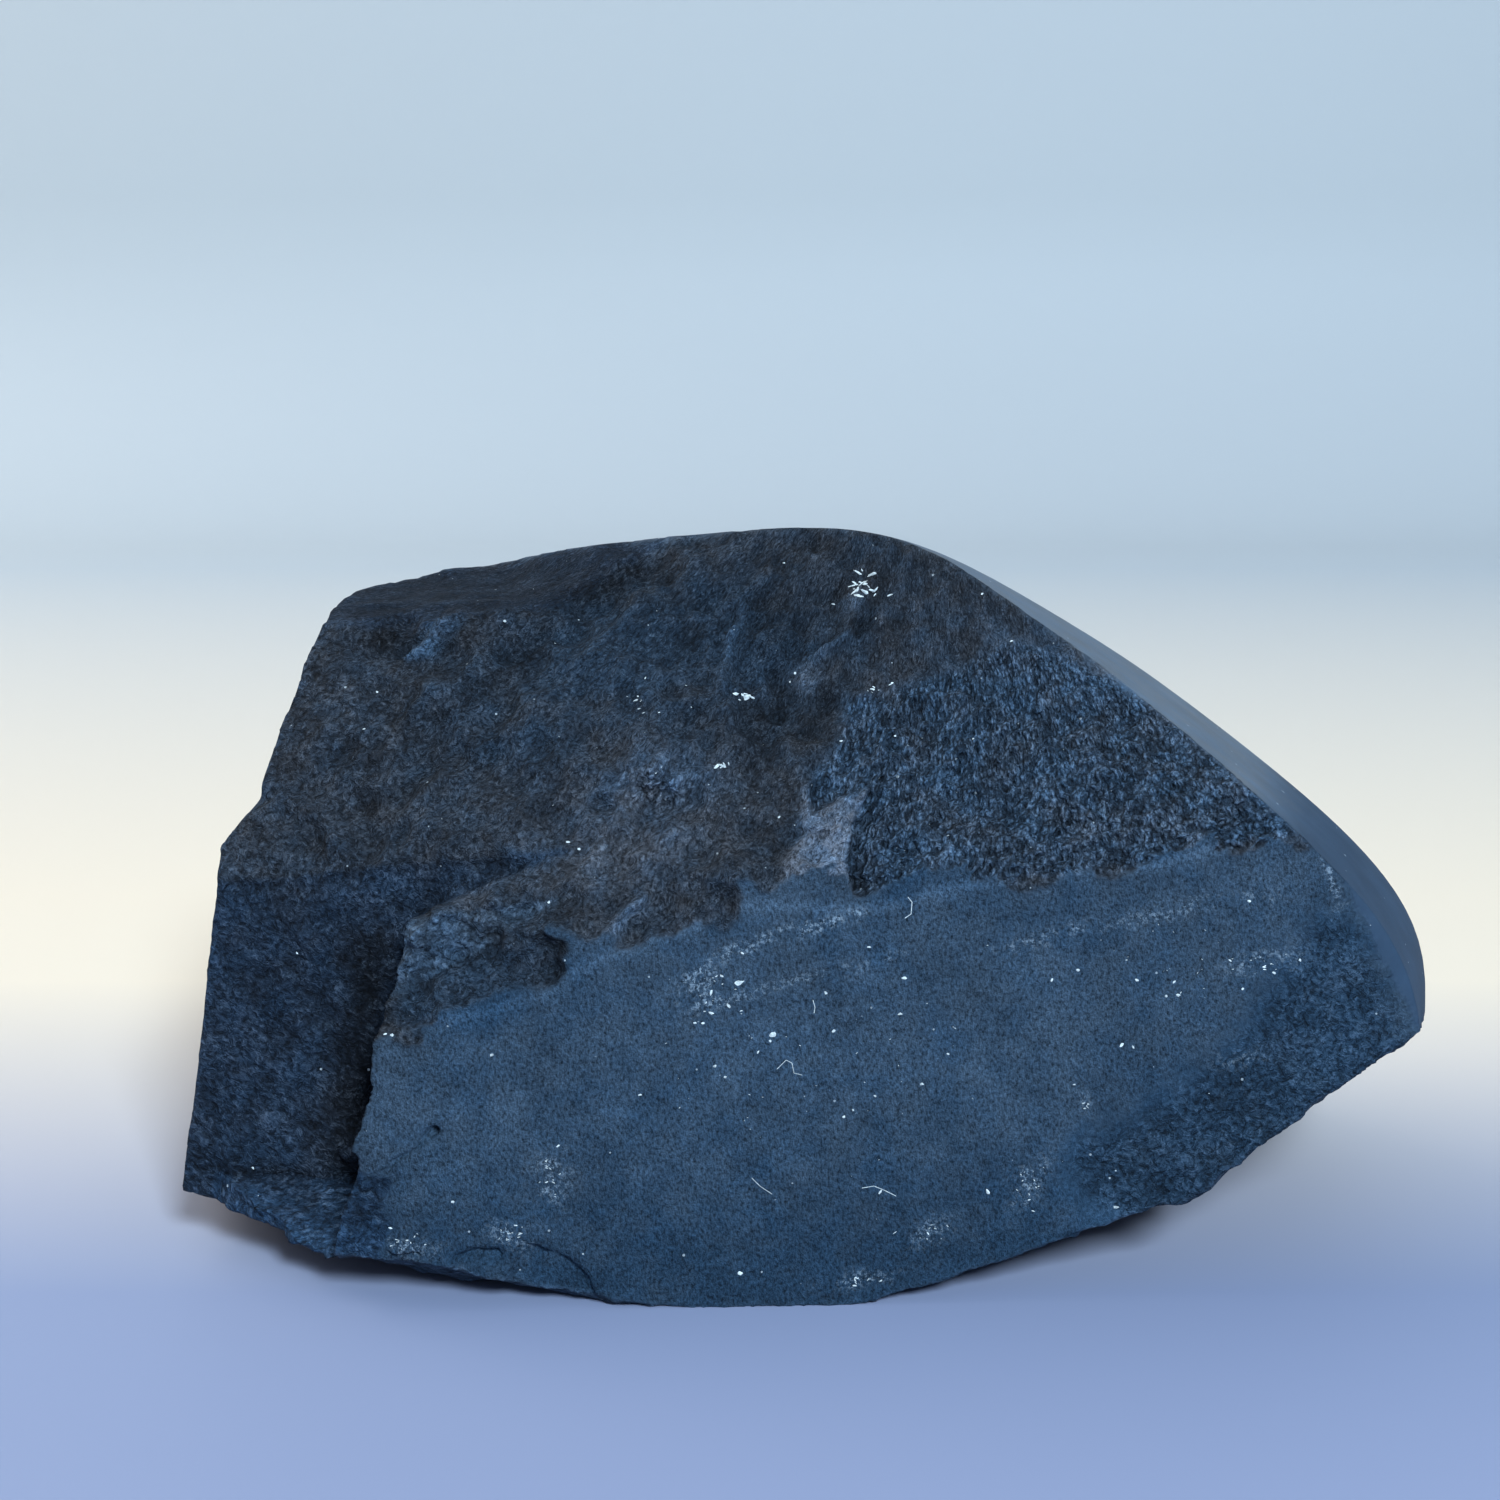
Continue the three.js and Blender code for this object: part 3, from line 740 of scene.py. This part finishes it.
class Graph:
    """A material's nodes. Values are numbers, colours or other nodes' sockets."""

    def __init__(self, name):
        self.material = bpy.data.materials.new(name)
        self.material.use_nodes = True
        self.tree = self.material.node_tree
        self.shader = self.tree.nodes["Principled BSDF"]

    def put(self, socket, value):
        if isinstance(value, bpy.types.NodeSocket):
            self.tree.links.new(value, socket)
        else:
            socket.default_value = value

    def add(self, kind, inputs=(), output=0, **settings):
        made = self.tree.nodes.new(kind)
        for name, value in settings.items():
            setattr(made, name, value)
        for name, value in dict(inputs).items():
            self.put(made.inputs[name], value)
        return made.outputs[output]

    def maths(self, what, *values):
        return self.add("ShaderNodeMath", enumerate(values), operation=what)

    def times(self, a, b):
        return self.maths("MULTIPLY", a, b)

    def plus(self, a, b):
        return self.maths("ADD", a, b)

    def around_one(self, value, strength):
        """A factor that varies about 1, from a noise that varies about a half."""
        return self.maths("MAXIMUM", DIMMEST, self.plus(1, self.times(self.plus(value, -0.5), strength)))

    def blend(self, share, a, b):
        return self.add("ShaderNodeMix", {0: share, 2: a, 3: b})

    def vector(self, what, *values):
        return self.add("ShaderNodeVectorMath", enumerate(values), operation=what)

    def read(self, name, output="Fac"):
        return self.add("ShaderNodeAttribute", (), output, attribute_name=name)

    def noise(self, place, size, detail=2, rough=0.6):
        """Noise from 0 to 1 whose bumps are that far apart."""
        inputs = {"Vector": place, "Scale": 1 / size, "Detail": detail, "Roughness": rough}
        return self.add("ShaderNodeTexNoise", inputs)

    def cells(self, place, size, output):
        """Scattered cells that far apart: the distance from a cell's middle, or its own colour."""
        return self.add("ShaderNodeTexVoronoi", {"Vector": place, "Scale": 1 / size}, output)

    def ramp(self, value, low, high, to_low=0.0, to_high=1.0):
        inputs = {"Value": value, "From Min": low, "From Max": high, "To Min": to_low, "To Max": to_high}
        return self.add("ShaderNodeMapRange", inputs)

    def mix(self, how, share, a, b):
        made = self.tree.nodes.new("ShaderNodeMix")
        made.data_type, made.blend_type = "RGBA", how
        for socket, value in zip((made.inputs[0], made.inputs[6], made.inputs[7]), (share, a, b)):
            self.put(socket, value)
        return made.outputs[2]


# Painted glints on grains: a painted highlight, pale like freshly broken grains.
GLINT_COLOUR = (0.20, 0.28, 0.36, 1)  # freshly broken grains
# Painted highlight: the grey that the lightest grain tips fade to.
GRAIN_HIGHLIGHT_GREY = (0.15, 0.165, 0.18, 1)  # the tips of grains
POWDER = (0.34, 0.44, 0.52, 1)
SPECK = (0.62, 0.70, 0.72, 1)
CRYSTAL = (0.58, 0.57, 0.52, 1)
SPECULAR = 0.12

# Sizes of the colour changes, in millimetres.
CLOUD, VEIN, CRYSTAL_MOTTLE = 7, 4, 1.2
POWDER_GRAIN, POWDER_CLOUD, SPECK_CELL = 0.4, 2.0, 1.6
FINEST, FINEST_HEIGHT = 0.2, 0.02

# The crystal flowers on the ground back: their middle in millimetres, size, petals and a turn.
BLOOMS = [((14, 33, 36), 25, 23, 0.1), ((-34, 30, 24), 14, 17, 0.6)]
BACK = 16  # millimetres behind the middle, from where the flowers show
PETAL_BEND, PETAL_SHIFT = 5, 2.5
PETAL_WIDTH = 0.09  # of the flower's size

# Sizes of the broken and sawn textures, in millimetres.
SWIRL, SWIRL_SHIFT = 0.625, 0.6
GRAIN_CELL, GRAIN_EDGE, CLUMP = 0.42, 0.22, 1.6
TORN, FOLD, CURL = 0.25, 2.2, 0.7
SAW_PIT, BLOT = 0.28, 1.8
PIT_STRETCH = (1, 1, 0.7)


def bend(g, place, size, shift):
    """The place, shifted by a smooth noise whose bumps are that far apart."""
    swirl = g.add("ShaderNodeTexNoise", {"Vector": place, "Scale": 1 / size}, "Color")
    return g.vector("ADD", place, g.vector("MULTIPLY", swirl, (shift, shift, shift)))


def broken_texture(g, grain, grit):
    """Shade, relief (in millimetres) and glints of a broken face: sharp grains, or fine curly fibres."""
    bent = bend(g, grain, SWIRL, SWIRL_SHIFT)
    gap, own = g.cells(bent, GRAIN_CELL, "Distance"), g.cells(bent, GRAIN_CELL, "Color")
    sharp, clumps = g.noise(grain, GRAIN_EDGE, 3, 0.75), g.noise(grain, CLUMP, 4, 0.65)
    coarse_shade = g.times(g.ramp(sharp, 0.4, 0.6, 0.4, 1.65), g.ramp(clumps, 0.4, 0.6, 0.65, 1.35))
    # Painted shade in the gaps between the grains and painted light on their middles.
    coarse_shade = g.times(coarse_shade, g.times(g.ramp(gap, 0.3, 0.6, 1.3, 0.4), g.around_one(own, 0.9)))
    coarse_relief = g.plus(g.times(gap, -0.9), g.plus(g.times(sharp, 0.6), g.times(clumps, 0.8)))
    torn, folds = g.noise(bent, TORN, 3, 0.8), g.noise(bent, FOLD, 5, 0.7)
    curls = g.ramp(g.maths("ABSOLUTE", g.plus(g.noise(bent, CURL), -0.5)), 0, 0.045, 1, 0)
    fine_shade = g.times(g.ramp(torn, 0.4, 0.6, 0.35, 1.75), g.ramp(folds, 0.4, 0.6, 0.7, 1.3))
    fine_shade = g.times(fine_shade, g.ramp(g.times(curls, torn), 0.2, 0.5, 0.92, 1.55))
    fine_relief = g.plus(g.times(torn, 0.5), g.plus(g.times(folds, 1.1), g.times(curls, 0.1)))
    shade = g.blend(grit, fine_shade, coarse_shade)
    relief = g.blend(grit, fine_relief, coarse_relief)
    # Painted glints: small pale highlights on the sharpest grains.
    glints = g.times(g.ramp(g.times(sharp, own), 0.42, 0.52), g.times(grit, 0.35))
    return shade, relief, glints


def sawn_texture(g, place):
    """Shade and relief (in millimetres) of the sawn face: fine matte pits, a little taller than wide."""
    pits = g.noise(g.vector("MULTIPLY", place, PIT_STRETCH), SAW_PIT, 3, 0.75)
    blots = g.noise(place, BLOT, 4, 0.65)
    shade = g.times(g.around_one(pits, 3.8), g.around_one(blots, 0.7))
    return shade, g.plus(g.times(pits, 0.5), g.times(blots, 0.4))


def bloom(g, place, middle, size, petals, turn):
    """1 on the petals of one crystal flower: narrow spindles of uneven length around its middle."""
    uneven = bend(g, place, PETAL_BEND, PETAL_SHIFT)
    away = g.vector("SUBTRACT", uneven, tuple(m + PETAL_SHIFT / 2 for m in middle))
    across, up = (g.add("ShaderNodeSeparateXYZ", {"Vector": away}, axis) for axis in "XZ")
    radius = g.maths("SQRT", g.plus(g.times(across, across), g.times(up, up)))
    count = g.maths("MULTIPLY_ADD", g.maths("ARCTAN2", across, up), petals / (2 * math.pi), turn + petals)
    own = g.add("ShaderNodeTexWhiteNoise", {"W": g.maths("FLOOR", count)}, "Value", noise_dimensions="1D")
    along = g.maths("DIVIDE", radius, g.ramp(own, 0, 1, 0.5 * size, size))
    room = g.times(radius, math.pi / petals)
    beside = g.times(g.maths("ABSOLUTE", g.plus(g.maths("FRACT", count), -0.5)), g.times(room, 2))
    width = g.maths("SQRT", g.maths("MAXIMUM", 0, g.times(along, g.maths("SUBTRACT", 1, along))))
    width = g.maths("MINIMUM", g.times(width, PETAL_WIDTH * size), g.times(room, 0.85))
    return g.ramp(g.maths("SUBTRACT", width, beside), 0.02, 0.3)


def flowers(g, place, ground):
    """1 on the petals of all the crystal flowers, which show only on the ground back."""
    behind = g.add("ShaderNodeSeparateXYZ", {"Vector": place}, "Y")
    petals = 0
    for middle, size, count, turn in BLOOMS:
        petals = g.maths("MAXIMUM", petals, bloom(g, place, middle, size, count, turn))
    return g.times(petals, g.times(ground, g.maths("GREATER_THAN", behind, BACK)))


def with_dust(g, place, tone):
    """The tone under the powder of the dusty marks and a few single specks."""
    powder = g.times(g.read("dust"), g.ramp(g.noise(place, POWDER_GRAIN, 3, 0.75), 0.5, 0.6))
    powder = g.times(powder, g.ramp(g.noise(place, POWDER_CLOUD), 0.42, 0.56, 0.05, 0.9))
    tone = g.mix("MIX", powder, tone, POWDER)
    gap, own = g.cells(place, SPECK_CELL, "Distance"), g.cells(place, SPECK_CELL, "Color")
    speck = g.maths("LESS_THAN", gap, g.ramp(own, 0.55, 1.0, 0.0, 0.11))
    return g.mix("MIX", g.times(speck, 0.6), tone, SPECK)


def millimetres(g):
    """The place on the object, in millimetres."""
    return g.vector("MULTIPLY", g.add("ShaderNodeTexCoord", (), "Object"), (1 / MM, 1 / MM, 1 / MM))


def stone_material():
    g = Graph("slate_blue_limestone")
    place = millimetres(g)
    sawn, ground = g.read("sawn"), g.read("ground")
    broken = g.maths("SUBTRACT", g.maths("SUBTRACT", 1, sawn), ground)
    broken_shade, broken_relief, glints = broken_texture(g, g.read("grain", "Vector"), g.read("grit"))
    sawn_shade, sawn_relief = sawn_texture(g, place)
    shade = g.blend(broken, g.blend(sawn, 1, sawn_shade), broken_shade)
    shade = g.times(shade, g.around_one(g.noise(place, CLOUD, 4), 0.8))
    veins = g.times(g.plus(g.noise(place, VEIN, 5, 0.65), -0.5), 2.5)
    tone = g.mix("MIX", g.plus(g.read("share"), veins), g.read("blue", "Color"), g.read("brown", "Color"))
    tone = g.mix("MULTIPLY", 1.0, tone, shade)
    # Painted highlight: the lightest grains fade to grey.
    tone = g.mix("MIX", g.times(broken, g.ramp(shade, 1.1, 2.8, 0, 0.22)), tone, GRAIN_HIGHLIGHT_GREY)
    # Painted highlight: glints on the grains.
    tone = g.mix("MIX", g.times(glints, broken), tone, GLINT_COLOUR)
    tone = with_dust(g, place, tone)
    crystal = g.mix("MULTIPLY", 1.0, CRYSTAL, g.around_one(g.noise(place, CRYSTAL_MOTTLE, 4), 1.8))
    tone = g.mix("MIX", g.times(flowers(g, place, ground), 0.85), tone, crystal)
    g.put(g.shader.inputs["Base Color"], tone)
    height = g.plus(g.times(broken, broken_relief), g.times(sawn, sawn_relief))
    height = g.plus(height, g.times(g.noise(place, FINEST), FINEST_HEIGHT))
    bump = g.add("ShaderNodeBump", {"Height": height, "Distance": MM, "Strength": 1.0})
    g.put(g.shader.inputs["Normal"], bump)
    g.put(g.shader.inputs["Roughness"], g.read("sheen"))
    g.shader.inputs["Specular IOR Level"].default_value = SPECULAR
    return g.material


KINDS = {  # by how many numbers a vertex has: the attribute's type and field
    1: ("FLOAT", "value"),
    3: ("FLOAT_VECTOR", "vector"),
    4: ("FLOAT_COLOR", "color"),
}


def add(name, data):
    thing = bpy.data.objects.new(name, data)
    bpy.context.scene.collection.objects.link(thing)
    return thing


def make_stone():
    points, faces, sides, look = shape_the_stone()
    mesh = bpy.data.meshes.new("chrysanthemum_stone")
    mesh.from_pydata(((points - MIDDLE) * MM).tolist(), [], faces.tolist())
    mesh.shade_smooth()
    for name, values in paint(points, sides, look).items():
        kind, field = KINDS[values[0].size]
        layer = mesh.attributes.new(name, kind, "POINT")
        layer.data.foreach_set(field, np.ascontiguousarray(values, np.float32).ravel())
    mesh.materials.append(stone_material())
    stone = add("chrysanthemum_stone", mesh)
    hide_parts("stone")
    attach(stone, "root")
    return stone


stone = make_stone()


# ---- Dust and lint on the viewer's side ----
# Flecks by their width in millimetres, where they are seen in pixels.
FLECKS = {
    0.80: [(747, 697)],
    0.70: [(739, 983), (773, 1034)],
    0.45: [(711, 992), (722, 976), (729, 1006), (711, 1013), (904, 978), (900, 1014), (1116, 1207),
            (1178, 995), (492, 1055), (549, 902), (453, 1202), (568, 842), (988, 1192),
            (1122, 1045), (880, 1192), (740, 1273)],
    0.32: [(742, 953), (703, 1023), (695, 1023), (770, 1041), (758, 1052), (715, 1066),
            (725, 1077), (869, 947), (834, 1031), (948, 1054), (922, 1084), (853, 1110),
            (875, 1096), (844, 1117), (826, 993), (1243, 989), (1166, 996), (1137, 980),
            (1133, 1047), (1249, 901), (1078, 970), (1174, 982), (1274, 973), (297, 953),
            (558, 1146), (385, 1034), (392, 1035), (390, 1228), (583, 1254), (253, 1168),
            (579, 849), (505, 621), (779, 817), (784, 563), (364, 729), (377, 692), (833, 604),
            (795, 673), (982, 594), (1011, 641), (973, 739), (895, 736), (841, 741), (892, 683),
            (790, 682), (1052, 980), (640, 1095), (1300, 960)],
}
# Where small pale chips lie together: the middle and half-spread in pixels, how many, and their width.
CLUSTERS = [
    ((860, 586), (24, 15), 24, 0.62), ((748, 697), (10, 6), 7, 0.50), ((723, 766), (12, 4), 6, 0.50),
    ((643, 705), (11, 9), 7, 0.35), ((1262, 962), (30, 12), 14, 0.22),
    ((712, 1000), (26, 26), 12, 0.20), ((1028, 1180), (14, 24), 14, 0.20),
    ((930, 1232), (22, 10), 10, 0.20), ((550, 1180), (14, 24), 12, 0.22),
    ((508, 1234), (16, 8), 10, 0.28), ((862, 1280), (26, 6), 10, 0.22),
    ((1084, 1100), (8, 12), 6, 0.22), ((405, 1244), (26, 12), 9, 0.25), ((880, 688), (16, 6), 8, 0.28),
    ((1180, 960), (90, 40), 18, 0.16), ((820, 1080), (240, 110), 40, 0.13),
    ((600, 760), (240, 110), 20, 0.14), ((960, 790), (130, 80), 12, 0.15),
]
FLECK_SLIMNESS = 1.1
CHIP_SLIMNESS = 1.5
CHIP_WIDTHS = (0.4, 1.2)  # of the cluster's width
CHIP_TURN = 0.6  # radians
CRUMB_LENGTHS, CRUMB_WIDTHS, CRUMB_HEIGHTS = (0.8, 1.3), (0.6, 1.0), (0.2, 0.4)  # of its own width
CRUMB_UNEVENNESS = (0.6, 1.4)
LINT = {
    "curl below the large fleck": [(777, 1069), (786, 1060), (792, 1063), (794, 1073), (802, 1075)],
    "hair, upright": [(813, 1000), (815, 1007), (814, 1013)],
    "fibre, lower middle": [(862, 1188), (874, 1186), (884, 1190), (896, 1196)],
    "fibre, slanting": [(752, 1178), (760, 1186), (772, 1194)],
    "hook under the border": [(905, 918), (911, 914), (912, 902), (908, 897)],
}
LINT_RADIUS = 0.035
LINT_RING = (0, 2.1, 4.2)  # radians
DUST_COLOUR = (0.62, 0.68, 0.66, 1)
DUST_MOTTLE = 0.5


def on_the_stone(tree, pixel):
    """The place on the stone (in metres) that shows at a pixel, and the surface's direction there."""
    across, up = (pixel[0] - PHOTO / 2) / FOCAL, (PHOTO / 2 - pixel[1]) / FOCAL
    ray = AHEAD + across * np.array([1, 0, 0]) + up * UPWARD
    place, facing, _, _ = tree.ray_cast(Vector((EYE - MIDDLE) * MM), Vector(ray).normalized())
    return place, facing


def fleck(into, place, facing, width, slimness):
    """A flat uneven crumb or a slim chip that lies on the surface."""
    crumb = bmesh.ops.create_icosphere(into, subdivisions=1, radius=0.5 * width * MM)["verts"]
    length, breadth = draw.uniform(*CRUMB_LENGTHS) * slimness, draw.uniform(*CRUMB_WIDTHS) / slimness
    stretch = (length, breadth, draw.uniform(*CRUMB_HEIGHTS))
    turn = facing.to_track_quat("Z", "Y").to_matrix() @ Matrix.Rotation(CHIP_TURN * draw.normal(), 3, "Z")
    for vertex in crumb:
        shape = Vector([a * b * draw.uniform(*CRUMB_UNEVENNESS) for a, b in zip(vertex.co, stretch)])
        vertex.co = place + turn @ shape


def fibre(into, places, facings):
    """A thin three-sided tube along the places."""
    rings = []
    for here, facing in zip(places, facings):
        middle = here + facing * LINT_RADIUS * MM
        ring = [(math.sin(a), math.cos(a)) for a in LINT_RING]
        rings.append([into.verts.new(middle + Vector((x, 0, z)) * LINT_RADIUS * MM) for x, z in ring])
    for one, other in zip(rings[:-1], rings[1:]):
        for i in range(3):
            into.faces.new((one[i], one[i - 1], other[i - 1], other[i]))
    into.faces.new(rings[0])
    into.faces.new(rings[-1][::-1])


def dust_the_stone():
    corners = [v.co for v in stone.data.vertices]
    tree = BVHTree.FromPolygons(corners, [f.vertices for f in stone.data.polygons])
    wanted = [(pixel, width, FLECK_SLIMNESS) for width, pixels in FLECKS.items() for pixel in pixels]
    for middle, reach, count, width in CLUSTERS:
        for _ in range(count):
            pixel = [m + r * draw.normal() * 0.5 for m, r in zip(middle, reach)]
            wanted.append((pixel, width * draw.uniform(*CHIP_WIDTHS), CHIP_SLIMNESS))
    crumbs = bmesh.new()
    for pixel, width, slimness in wanted:
        place, facing = on_the_stone(tree, pixel)
        if place:
            fleck(crumbs, place, facing, width, slimness)
    for route in LINT.values():
        found = [on_the_stone(tree, pixel) for pixel in route]
        fibre(crumbs, [place for place, _ in found], [facing for _, facing in found])
    mesh = bpy.data.meshes.new("dust")
    crumbs.to_mesh(mesh)
    crumbs.free()
    mesh.materials.append(dust_material())
    dust = add("dust", mesh)
    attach(dust, "root")


def dust_material():
    g = Graph("pale_dust")
    mottled = g.around_one(g.noise(millimetres(g), DUST_MOTTLE, 3), 2.0)
    g.put(g.shader.inputs["Base Color"], g.mix("MULTIPLY", 1.0, DUST_COLOUR, mottled))
    g.shader.inputs["Roughness"].default_value = 0.8
    return g.material


dust_the_stone()


# ---- Studio ----
# Sizes in metres.
SWEEP_FRONT = -1.6
WALL = 0.62
WALL_BEND = 0.12
WALL_HEIGHT = 0.9
SWEEP_HALF_WIDTH = 2.0
STONE_MIDDLE = (0, 0, 0.03)
WALL_COLOUR = (0.54, 0.58, 0.59, 1)
FLOOR_COLOUR = (0.88, 0.74, 0.56, 1)
# Painted shadow: the floor darker and bluer under the stone and towards the viewer.
FRONT_SHADOW_COLOUR = (0.27, 0.31, 0.44, 1)
WALL_CHANGE = (0.45, 0.10)  # how far behind the stone's middle the colour changes
FRONT_SHADOW_CHANGE = (0.06, -0.03)
SKY_COLOUR = (0.60, 0.74, 1.0, 1)
SKY_AT_HORIZON = 0.05
SKY_OVERHEAD = 0.58
LIGHTS = {
    "window": {"place": (-0.75, 0.35, 0.60), "size": 0.8, "watts": 6.0, "colour": (1.0, 0.95, 0.88)},
    "front": {"place": (0.35, -0.95, 0.85), "size": 0.3, "watts": 24.7, "colour": (0.60, 0.75, 0.91)},
}


def sweep_profile():
    """Distances behind the stone and heights, along the floor, round the bend and up the wall."""
    bend_middle = (WALL - WALL_BEND, WALL_BEND)
    bend = []
    for degrees in range(0, 91, 10):
        a = math.radians(degrees)
        bend.append((bend_middle[0] + WALL_BEND * math.sin(a), bend_middle[1] - WALL_BEND * math.cos(a)))
    return [(SWEEP_FRONT, 0), *bend, (WALL, WALL_HEIGHT)]


def sweep_material():
    """Pale paper; a painted shadow makes it bluer and a little darker from under the stone towards the
    viewer.
    """
    g = Graph("sweep")
    place = g.add("ShaderNodeTexCoord", (), "Object")
    back = g.add("ShaderNodeSeparateXYZ", {"Vector": place}, "Y")
    colour = g.mix("MIX", g.ramp(back, *WALL_CHANGE), WALL_COLOUR, FLOOR_COLOUR)
    g.put(g.shader.inputs["Base Color"], g.mix("MIX", g.ramp(back, *FRONT_SHADOW_CHANGE), colour, FRONT_SHADOW_COLOUR))
    g.shader.inputs["Roughness"].default_value = 0.6
    return g.material


def studio_sweep():
    """A pale floor that curves up into a wall behind the stone."""
    profile = sweep_profile()
    corners = [(x, y, z) for y, z in profile for x in (-SWEEP_HALF_WIDTH, SWEEP_HALF_WIDTH)]
    faces = [(2 * i, 2 * i + 1, 2 * i + 3, 2 * i + 2) for i in range(len(profile) - 1)]
    mesh = bpy.data.meshes.new("sweep")
    mesh.from_pydata(corners, [], faces)
    mesh.shade_smooth()
    mesh.materials.append(sweep_material())
    add("sweep", mesh)


def light_the_sky():
    """A dim sky, brightest overhead."""
    world = bpy.data.worlds.new("sky")
    bpy.context.scene.world = world
    world.use_nodes = True
    nodes, links = world.node_tree.nodes, world.node_tree.links
    heading = nodes.new("ShaderNodeTexCoord")
    parts = nodes.new("ShaderNodeSeparateXYZ")
    brightness = nodes.new("ShaderNodeMapRange")
    brightness.inputs["To Min"].default_value = SKY_AT_HORIZON
    brightness.inputs["To Max"].default_value = SKY_OVERHEAD
    nodes["Background"].inputs["Color"].default_value = SKY_COLOUR
    links.new(heading.outputs["Generated"], parts.inputs["Vector"])
    links.new(parts.outputs["Z"], brightness.inputs["Value"])
    links.new(brightness.outputs["Result"], nodes["Background"].inputs["Strength"])


def add_light(name, place, size, watts, colour):
    """A square soft light that faces the stone."""
    data = bpy.data.lights.new(name, "AREA")
    data.size, data.energy, data.color = size, watts, colour
    lamp = add(name, data)
    lamp.location = place
    lamp.rotation_euler = (Vector(STONE_MIDDLE) - Vector(place)).to_track_quat("-Z", "Y").to_euler()


def set_the_camera():
    data = bpy.data.cameras.new("camera")
    data.lens = LENS
    data.sensor_width = SENSOR
    data.clip_start = 0.01
    camera = add("camera", data)
    camera.location = (EYE - MIDDLE) * MM
    camera.rotation_euler = (math.radians(90 - LOOKING_DOWN), 0, 0)
    bpy.context.scene.camera = camera


studio_sweep()
light_the_sky()
for name, light in LIGHTS.items():
    add_light(name, **light)
set_the_camera()
bpy.context.scene.view_settings.view_transform = "Standard"
